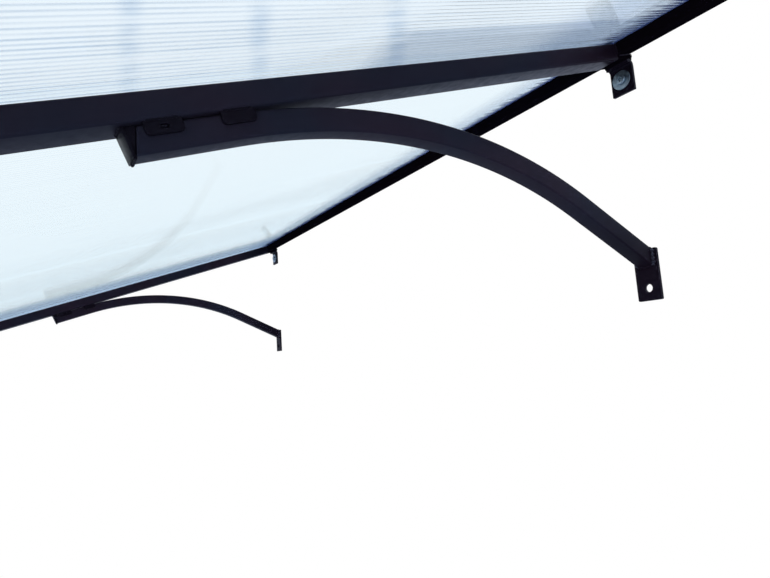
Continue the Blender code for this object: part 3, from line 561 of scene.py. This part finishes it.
def extruded_polycarbonate(bay):
    """Clear polycarbonate from a die: glassy, with a cast towards blue and a fine dull line at each rib,
    stronger and weaker from rib to rib and along it. At the upper rail each rib has a dark tooth of dirt and
    painted shade."""
    material, place = blank_material(bay["name"])

    # Distance along the rails, down the slope from the upper rail's front face, and off the slope
    along = add_node(material, "ShaderNodeSeparateXYZ", links={0: place})
    turned = add_node(material, "ShaderNodeVectorMath", {1: down_slope}, {0: place}, operation="DOT_PRODUCT")
    rail_front = float(on_frame(0.0, TUBE_WIDTH) @ down_slope)
    slid = {0: turned.outputs["Value"]}
    down = add_node(material, "ShaderNodeMath", {1: rail_front}, slid, operation="SUBTRACT")
    lifted = add_node(material, "ShaderNodeVectorMath", {1: off_slope}, {0: place}, operation="DOT_PRODUCT")
    skin_top = float(on_frame(0.0, 0.0, SHEET_UNDERSIDE + 1.5 * SKIN) @ off_slope)
    height = {0: lifted.outputs["Value"]}
    lower_skin = add_node(material, "ShaderNodeMath", {1: skin_top}, height, operation="LESS_THAN")

    # A whole number for each rib, a random one from it, and how near the rib is, in shares of the pitch
    counted = add_node(material, "ShaderNodeMath", {1: FLUTE_PITCH}, {0: along}, operation="DIVIDE")
    rib = add_node(material, "ShaderNodeMath", links={0: counted}, operation="ROUND")
    luck = add_node(material, "ShaderNodeTexWhiteNoise", links={"W": rib}, noise_dimensions="1D")
    signed = add_node(material, "ShaderNodeMath", links={0: counted, 1: rib}, operation="SUBTRACT")
    off_rib = add_node(material, "ShaderNodeMath", links={0: signed}, operation="ABSOLUTE")
    dying = {"From Max": LINE_REACH, **FALLING}
    line = add_node(material, "ShaderNodeMapRange", dying, {"Value": off_rib}, **SMOOTH)

    # A line's depth follows half its rib's luck plus the patch's value, and grows down the slope
    stretched = add_node(material, "ShaderNodeMapping", {"Scale": PATCH_STRETCH}, {"Vector": place})
    patches = add_node(material, "ShaderNodeTexNoise", {"Scale": 1000.0 / PATCH_MM}, {"Vector": stretched})
    uneven = add_node(material, "ShaderNodeMath", {1: 0.5}, {0: luck, 2: patches}, operation="MULTIPLY_ADD")
    deepest = bay["line_depth"]
    faintest = FAINTEST_LINE_SHARE * deepest
    depths = {"From Min": 0.45, "From Max": 1.15, "To Min": faintest, "To Max": deepest}
    depth = add_node(material, "ShaderNodeMapRange", depths, {"Value": uneven})
    fainter = {"From Min": LINES_FADED_TO, "From Max": LINES_FULL_FROM, "To Min": FADED_SHARE}
    further = add_node(material, "ShaderNodeMapRange", fainter, {"Value": down})
    paled = add_node(material, "ShaderNodeMath", links={0: depth, 1: further}, operation="MULTIPLY")
    drawn = add_node(material, "ShaderNodeMath", links={0: line, 1: paled}, operation="MULTIPLY")
    colours = {1: linear_colour(bay["ground"]), 2: linear_colour(LINE_COLOUR)}
    tone = add_node(material, "ShaderNodeMixRGB", colours, {0: drawn})

    # Painted shade: the stretch next to the upper rail is bluer and darker
    shady = {"From Min": bay["shady_to"], "From Max": bay["shady_to"] + SHADY_FADE, **FALLING}
    painted_shade_share = add_node(material, "ShaderNodeMapRange", shady, {"Value": down}, **SMOOTH)
    tint = {2: linear_colour(SHADY_COLOUR)}
    tone = add_node(material, "ShaderNodeMixRGB", tint, {0: painted_shade_share, 1: tone}, blend_type="MULTIPLY")

    # Smears are deepest along their slanting middles, patchy, and end part of the way along the bay
    ending = {"From Min": SMEARS_FADE_AT, "From Max": SMEARS_END_AT, "To Min": SMEAR_DEPTH, "To Max": 0.0}
    present = add_node(material, "ShaderNodeMapRange", ending, {"Value": along})
    patchy = {"From Min": 0.40, "From Max": 0.60, "To Min": 0.35}
    spotted = add_node(material, "ShaderNodeMapRange", patchy, {"Value": patches})
    strength = add_node(material, "ShaderNodeMath", links={0: present, 1: spotted}, operation="MULTIPLY")
    tint = {2: linear_colour(SMEAR_COLOUR)}
    for start, slant, half_width in bay["smears"]:
        middle = {1: -slant, 2: TUBE_WIDTH - start}
        lean = add_node(material, "ShaderNodeMath", middle, {0: along}, operation="MULTIPLY_ADD")
        off_middle = add_node(material, "ShaderNodeMath", links={0: down, 1: lean}, operation="ADD")
        either_side = add_node(material, "ShaderNodeMath", links={0: off_middle}, operation="ABSOLUTE")
        fade = {"From Max": half_width, **FALLING}
        smear = add_node(material, "ShaderNodeMapRange", fade, {"Value": either_side}, **SMOOTH)
        amount = add_node(material, "ShaderNodeMath", links={0: smear, 1: strength}, operation="MULTIPLY")
        tone = add_node(material, "ShaderNodeMixRGB", tint, {0: amount, 1: tone}, blend_type="MULTIPLY")

    # Painted reflection: a duller, darker strip beside the rafter on the sheet's left, for the rafter
    # mirrored in the lower skin
    low, high = bay["strip_to"] - bay["strip_soft"], bay["strip_to"] + bay["strip_soft"]
    strip = {"From Min": low, "From Max": high, **FALLING}
    beside = add_node(material, "ShaderNodeMapRange", strip, {"Value": along}, **SMOOTH)
    reach = {"From Min": bay["strip_ends"] - STRIP_END_FADE, "From Max": bay["strip_ends"], **FALLING}
    upper = add_node(material, "ShaderNodeMapRange", reach, {"Value": down})
    amount = add_node(material, "ShaderNodeMath", links={0: beside, 1: upper}, operation="MULTIPLY")
    tint = {2: linear_colour(bay["reflection_tint"])}
    tone = add_node(material, "ShaderNodeMixRGB", tint, {0: amount, 1: tone}, blend_type="MULTIPLY")

    # Dirt and painted shade at the upper ends: a narrow dark band at the rail, and teeth along the ribs, each
    # with its own length
    teeth = {"To Min": bay["dirt_and_shade"][0], "To Max": bay["dirt_and_shade"][1]}
    tooth = add_node(material, "ShaderNodeMapRange", teeth, {"Value": luck})
    fade = {"To Min": TOOTH_DEPTH, "To Max": 0.0}
    dirt_and_shade = add_node(material, "ShaderNodeMapRange", fade, {"Value": down, "From Max": tooth})
    comb = add_node(material, "ShaderNodeMapRange", {"To Min": BETWEEN_TEETH_SHARE}, {"Value": line})
    darkened = add_node(material, "ShaderNodeMath", links={0: dirt_and_shade, 1: comb}, operation="MULTIPLY")
    band = {"From Max": DIRT_AND_SHADE_BAND, "To Min": BAND_DEPTH, "To Max": 0.0}
    dark_band = add_node(material, "ShaderNodeMapRange", band, {"Value": down})
    darkened = add_node(material, "ShaderNodeMath", links={0: darkened, 1: dark_band}, operation="MAXIMUM")
    tone = add_node(material, "ShaderNodeMixRGB", {2: linear_colour(DIRT_AND_SHADE_COLOUR)}, {0: darkened, 1: tone})

    # All of it lies on the lower skin, and the rest of the sheet is clear
    seen = add_node(material, "ShaderNodeMixRGB", {1: linear_colour(CLEAR_COLOUR)}, {0: lower_skin, 2: tone})
    glassy = {"IOR": bay["seen_ior"], "Transmission Weight": 1.0, "Roughness": SHEET_ROUGHNESS}
    plastic = add_node(material, "ShaderNodeBsdfPrincipled", glassy, {"Base Color": seen})
    add_node(material, "ShaderNodeOutputMaterial", links={"Surface": plastic})
    return material


finished(("sheet_right",), extruded_polycarbonate(NEAR_BAY))
finished(("sheet_left",), extruded_polycarbonate(FAR_BAY))

# Front trims and cap bars: clear polycarbonate profiles. A U is pushed over the flutes' lower ends, and flat
# bars lie over the sheets' long edges, with a lip at each outer rafter. They are as clear as the sheets.

BAR_EDGE = 0.0003
DIE_LINE_MM = 0.9
# Lower than polycarbonate's own IOR for the same reason as the sheets'
PROFILE_SEEN_IOR = 1.02


def extruded_clear_profile(name, drawn_out):
    """Clear polycarbonate profile: thicker than the sheet's skins, with faint lines from the die along it."""
    material, place = blank_material(name)
    stretched = add_node(material, "ShaderNodeMapping", {"Scale": drawn_out}, {"Vector": place})
    lines = add_node(material, "ShaderNodeTexNoise", {"Scale": 1000.0 / DIE_LINE_MM}, {"Vector": stretched})
    relief = add_node(material, "ShaderNodeBump", {"Strength": 0.3, "Distance": 0.0001}, {"Height": lines})
    cast = add_node(material, "ShaderNodeValToRGB", links={"Fac": lines})
    for stop, colour in zip(cast.color_ramp.elements, ("f6fafd", "fcfeff")):
        stop.color = linear_colour(colour)
    clear = {"IOR": PROFILE_SEEN_IOR, "Transmission Weight": 1.0, "Roughness": SHEET_ROUGHNESS}
    plastic = add_node(material, "ShaderNodeBsdfPrincipled", clear, {"Base Color": cast, "Normal": relief})
    add_node(material, "ShaderNodeOutputMaterial", links={"Surface": plastic})
    return material


finished(("front_trim",), extruded_clear_profile("extruded_clear_trim", (0.01, 1.0, 1.0)))
finished(("cap_bar",), extruded_clear_profile("extruded_clear_bar", (1.0, 0.01, 0.01)), BAR_EDGE)

# Screws and washers: low self-drilling screws through the cap bars' ends into the rails, and a large stamped
# washer and a pan-head screw through each tab. The screws have a cross recess. All are steel, zinc plated and
# passivated, so their shine is bluish and broken up by fine crystals.

WASHER_RADIUS = 0.012
WASHER_BORE_RADIUS = 0.0042
WASHER_EDGE = 0.0004
TAB_HEAD_RADIUS = 0.0062
TAB_HEAD_HEIGHT = 0.0032
TAB_SHANK_RADIUS = 0.0038
ROOF_HEAD_RADIUS = 0.0055
ROOF_HEAD_HEIGHT = 0.0018
ROOF_SHANK_RADIUS = 0.0024
ROOF_SHANK_LENGTH = 0.016
ROOF_SCREW_INSET = 0.015
ROOF_SEAT_UP = 0.0269
RECESS_WIDTH_SHARE = 0.30
RECESS_DEPTH_SHARE = 0.80
RIM_SHARE = 0.6
HEAD_ROUND = 0.0003
TURN_STEPS = 96
HEAD_RINGS = 40
ZINC_CLOUD_MM, ZINC_CRYSTAL_MM = 5.0, 0.5


def blue_passivated_zinc():
    """Zinc plate with a blue passivate: pale blue-grey metal, clouded, roughened by crystals and handling."""
    material, place = blank_material("blue_passivated_zinc")
    spread = {"Scale": 1000.0 / ZINC_CLOUD_MM, "Detail": 5.0, "Roughness": 0.6}
    cloud = add_node(material, "ShaderNodeTexNoise", spread, {"Vector": place})
    shade = add_node(material, "ShaderNodeValToRGB", links={"Fac": cloud})
    for stop, position, colour in zip(shade.color_ramp.elements, (0.35, 0.68), ("8597a3", "b3c1c9")):
        stop.position, stop.color = position, linear_colour(colour)
    worn = {"From Min": 0.3, "From Max": 0.7, "To Min": 0.36, "To Max": 0.52}
    shine = add_node(material, "ShaderNodeMapRange", worn, {"Value": cloud})
    fine = {"Scale": 1000.0 / ZINC_CRYSTAL_MM}
    crystals = add_node(material, "ShaderNodeTexNoise", fine, {"Vector": place})
    relief = add_node(material, "ShaderNodeBump", {"Strength": 0.2, "Distance": 0.0001}, {"Height": crystals})
    patterns = {"Base Color": shade, "Roughness": shine, "Normal": relief}
    metal = add_node(material, "ShaderNodeBsdfPrincipled", {"Metallic": 1.0}, patterns)
    add_node(material, "ShaderNodeOutputMaterial", links={"Surface": metal})
    return material


def turned_about(middle, axis, radii, heights):
    """Each radius carried once round the axis, at its own height along it: middle + height * axis + radius *
    (the cosine of the turn * across + its sine * the direction square to both)."""
    turn = np.linspace(0.0, 2.0 * np.pi, TURN_STEPS, endpoint=False)[:, None]
    ring = np.cos(turn) * across + np.sin(turn) * np.cross(axis, across)
    return middle + heights[..., None] * axis + radii[:, None, None] * ring


def washer(side):
    """A ring whose section is a flat rectangle with round corners, turned about the hole's axis."""
    low, high = (np.array(corner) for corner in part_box("tab_washer_" + side))
    section = round_cornered(WASHER_RADIUS - WASHER_BORE_RADIUS, high[1] - low[1], WASHER_EDGE)
    radii = 0.5 * (WASHER_RADIUS + WASHER_BORE_RADIUS) + section[:, 0]
    ring = turned_about(0.5 * (low + high), outwards, radii, section[:, 1:])
    return grid_piece("stamped_washer_" + side, [ring], zinc, closed_along=True)


def recessed_screw(name, seat, axis, head_radius, head_height, shank_radius, shank_length, point):
    """A turned screw: the crown falls as the root of one less the fourth power of the radius, then come the
    rim, the shank and its point. The recess is a cross with sloping flanks, less deep towards its ends."""
    ring = np.linspace(0.0, 1.0, HEAD_RINGS)
    rim = RIM_SHARE * head_height
    crown = rim + (head_height - rim) * (1.0 - ring ** 4) ** 0.5
    lower_radii = np.array([head_radius, head_radius - HEAD_ROUND, shank_radius, shank_radius, 0.0])
    lower = np.array([HEAD_ROUND, 0.0, 0.0, point - shank_length, -shank_length])
    radii = np.concatenate([head_radius * ring, lower_radii])
    heights = np.repeat(np.concatenate([crown, lower])[:, None], TURN_STEPS, axis=1)
    turn = np.linspace(0.0, 2.0 * np.pi, TURN_STEPS, endpoint=False)
    sideways = np.abs(ring[:, None] * np.cos(turn))
    upwards = np.abs(ring[:, None] * np.sin(turn))
    narrow, wide = np.minimum(sideways, upwards), np.maximum(sideways, upwards)
    inside = np.clip(2.0 - 4.0 * narrow / RECESS_WIDTH_SHARE, 0.0, 1.0)
    towards_end = np.clip(1.0 - 2.0 * wide, 0.0, 1.0) ** 0.5
    heights[:HEAD_RINGS] -= RECESS_DEPTH_SHARE * head_height * inside * towards_end
    return grid_piece(name, [turned_about(seat, axis, radii, heights)], zinc, sharp=30.0)


zinc = blue_passivated_zinc()
outwards = np.array([0.0, -1.0, 0.0])
for side, x in rafter_places.items():
    for number, down in enumerate((ROOF_SCREW_INSET, FRAME_DEPTH - ROOF_SCREW_INSET), start=1):
        seat = on_frame(x, down, ROOF_SEAT_UP)
        size = (ROOF_HEAD_RADIUS, ROOF_HEAD_HEIGHT, ROOF_SHANK_RADIUS, ROOF_SHANK_LENGTH, ROOF_SHANK_RADIUS)
        name = "roof_screw_{}_{}".format(side, number)
        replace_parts(recessed_screw("low_head_" + name, seat, off_slope, *size), name)
    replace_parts(washer(side), "tab_washer_" + side)
    low, high = (np.array(corner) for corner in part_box("tab_screw_" + side))
    shank_length = high[1] - low[1] - TAB_HEAD_HEIGHT
    seat = np.array([x, high[1] - shank_length, 0.5 * (low[2] + high[2])])
    size = (TAB_HEAD_RADIUS, TAB_HEAD_HEIGHT, TAB_SHANK_RADIUS, shank_length, 0.0)
    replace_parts(recessed_screw("pan_head_screw_" + side, seat, outwards, *size), "tab_screw_" + side)

# Studio: white all round, a little bluer where a surface mirrors it, with a pale matt floor as far below as
# a doorway is tall, and one broad soft lamp, low in front of the canopy and to its right.

WHITE = (1.0, 1.0, 1.0, 1.0)
MIRRORED_COLOUR = "dae6ff"
LIGHT_COLOUR, LIGHT_STRENGTH = (0.92, 0.96, 1.0, 1.0), 0.6
FLOOR_COLOUR = "cfdcf4"
FLOOR_HEIGHT = -2.25
FLOOR_RADIUS = 60.0
FLOOR_POINTS = 64
FLOOR_PLAIN_RADIUS = 2.5
FLOOR_WHITE_RADIUS = 4.5
FLOOR_LIFT = 0.5

world = bpy.data.worlds.new("white_studio")
world.use_nodes = True
world.node_tree.nodes.clear()
rays = add_node(world, "ShaderNodeLightPath")
direct = {0: rays.outputs["Is Camera Ray"], 1: rays.outputs["Is Glossy Ray"]}
seen = add_node(world, "ShaderNodeMath", links=direct, operation="ADD")
through = {0: seen, 1: rays.outputs["Is Transmission Ray"]}
seen_through = add_node(world, "ShaderNodeMath", links=through, operation="ADD", use_clamp=True)
passed = {1: rays.outputs["Is Transmission Ray"]}
straight = add_node(world, "ShaderNodeMath", {0: 1.0}, passed, operation="SUBTRACT")
mirrored = {0: rays.outputs["Is Glossy Ray"], 1: straight}
only_mirrored = add_node(world, "ShaderNodeMath", links=mirrored, operation="MULTIPLY")
whites = {1: WHITE, 2: linear_colour(MIRRORED_COLOUR)}
backdrop = add_node(world, "ShaderNodeMixRGB", whites, {0: only_mirrored})
shown = add_node(world, "ShaderNodeBackground", {"Strength": 1.0}, {"Color": backdrop})
even_light = {"Color": LIGHT_COLOUR, "Strength": LIGHT_STRENGTH}
lighting = add_node(world, "ShaderNodeBackground", even_light)
chosen = add_node(world, "ShaderNodeMixShader", links={0: seen_through, 1: lighting, 2: shown})
add_node(world, "ShaderNodeOutputWorld", links={"Surface": chosen})
bpy.context.scene.world = world


def painted_floor():
    """Pale matt floor paint near the canopy, which keeps its shadow. The camera sees it lifted towards white,
    all white further out, and sees nothing of it from below."""
    material, place = blank_material("pale_floor_paint")
    level = {1: (1.0, 1.0, 0.0)}
    from_middle = add_node(material, "ShaderNodeVectorMath", level, {0: place}, operation="MULTIPLY")
    length = add_node(material, "ShaderNodeVectorMath", links={0: from_middle}, operation="LENGTH")
    reach = {"From Min": FLOOR_PLAIN_RADIUS, "From Max": FLOOR_WHITE_RADIUS, "To Min": FLOOR_LIFT}
    far = add_node(material, "ShaderNodeMapRange", reach, {"Value": length.outputs["Value"]}, **SMOOTH)
    ray = add_node(material, "ShaderNodeLightPath")
    looking = {0: ray.outputs["Is Camera Ray"], 1: ray.outputs["Is Transmission Ray"]}
    seen = add_node(material, "ShaderNodeMath", links=looking, operation="ADD", use_clamp=True)
    fading = add_node(material, "ShaderNodeMath", links={0: far, 1: seen}, operation="MULTIPLY")
    matt = add_node(material, "ShaderNodeBsdfDiffuse", {"Color": linear_colour(FLOOR_COLOUR)})
    white = add_node(material, "ShaderNodeEmission", {"Color": WHITE, "Strength": 1.0})
    above = add_node(material, "ShaderNodeMixShader", links={0: fading, 1: matt, 2: white})
    back = add_node(material, "ShaderNodeNewGeometry").outputs["Backfacing"]
    nothing = add_node(material, "ShaderNodeBsdfTransparent")
    either = add_node(material, "ShaderNodeMixShader", links={0: back, 1: above, 2: nothing})
    add_node(material, "ShaderNodeOutputMaterial", links={"Surface": either})
    return material


rim = np.linspace(0.0, 2.0 * np.pi, FLOOR_POINTS, endpoint=False)
disc = np.stack([np.cos(rim), np.sin(rim), 0.0 * rim], axis=1) * FLOOR_RADIUS + [0.0, 0.0, FLOOR_HEIGHT]
floor_mesh = bpy.data.meshes.new("floor")
floor_mesh.from_pydata(disc.tolist(), [], [list(range(rim.size))])
floor_mesh.materials.append(painted_floor())
floor = bpy.data.objects.new("floor", floor_mesh)
bpy.context.scene.collection.objects.link(floor)

LAMP_PLACE = Vector((2.6, -2.2, -0.9))
LAMP_AIM = Vector((0.0, -0.4, -0.05))
LAMP_SIZE = 2.4
LAMP_WATTS = 60.0
LAMP_COLOUR = "eef4ff"

lamp_data = bpy.data.lights.new("soft_lamp", "AREA")
lamp_data.shape = "DISK"
lamp_data.size = LAMP_SIZE
lamp_data.energy = LAMP_WATTS
lamp_data.color = linear_colour(LAMP_COLOUR)[:3]
lamp = bpy.data.objects.new("soft_lamp", lamp_data)
lamp.visible_transmission = False
lamp.location = LAMP_PLACE
lamp.rotation_euler = (LAMP_AIM - LAMP_PLACE).to_track_quat("-Z", "Y").to_euler()
bpy.context.scene.collection.objects.link(lamp)
# The floor is left out of the lamp's reach, or it would show a bright patch beside the canopy
unlit = bpy.data.collections.new("not_lit_by_the_lamp")
unlit.objects.link(floor)
unlit.collection_objects[0].light_linking.link_state = "EXCLUDE"
lamp.light_linking.receiver_collection = unlit

# Camera: low under the near bay and close to it, looking along the far bay and towards the arms' feet, and
# tipped up and a little over. Its place, turns and focal length fit the photograph's straight lines.

IMAGE_WIDTH = 770
SENSOR_WIDTH = 36.0
NEAR_CLIP = 0.01
BOUNCES = 40
FOCAL_PIXELS = 560.0886535
CAMERA_PLACE = Vector((0.3896581, -0.6278258, -0.3157272))
CAMERA_YAW, CAMERA_PITCH, CAMERA_ROLL = 0.5716084, 0.1270094, -0.0688073

level_sight = Vector((-math.cos(CAMERA_YAW), math.sin(CAMERA_YAW), 0.0))
upright = Vector((0.0, 0.0, 1.0))
sight = math.cos(CAMERA_PITCH) * level_sight + math.sin(CAMERA_PITCH) * upright
level_right = sight.cross(upright).normalized()
level_up = level_right.cross(sight)
right = math.cos(CAMERA_ROLL) * level_right + math.sin(CAMERA_ROLL) * level_up
up = math.cos(CAMERA_ROLL) * level_up - math.sin(CAMERA_ROLL) * level_right
camera_data = bpy.data.cameras.new("camera")
camera_data.sensor_width = SENSOR_WIDTH
camera_data.lens = FOCAL_PIXELS * SENSOR_WIDTH / IMAGE_WIDTH
camera_data.clip_start = NEAR_CLIP
camera = bpy.data.objects.new("camera", camera_data)
camera.matrix_world = Matrix.Translation(CAMERA_PLACE) @ Matrix((right, up, -sight)).transposed().to_4x4()
bpy.context.scene.collection.objects.link(camera)
bpy.context.scene.camera = camera

# Light passes the many thin walls of the sheets only with many bounces
cycles = bpy.context.scene.cycles
cycles.max_bounces = BOUNCES
cycles.transmission_bounces = BOUNCES
cycles.transparent_max_bounces = BOUNCES
bpy.context.scene.view_settings.view_transform = "Standard"
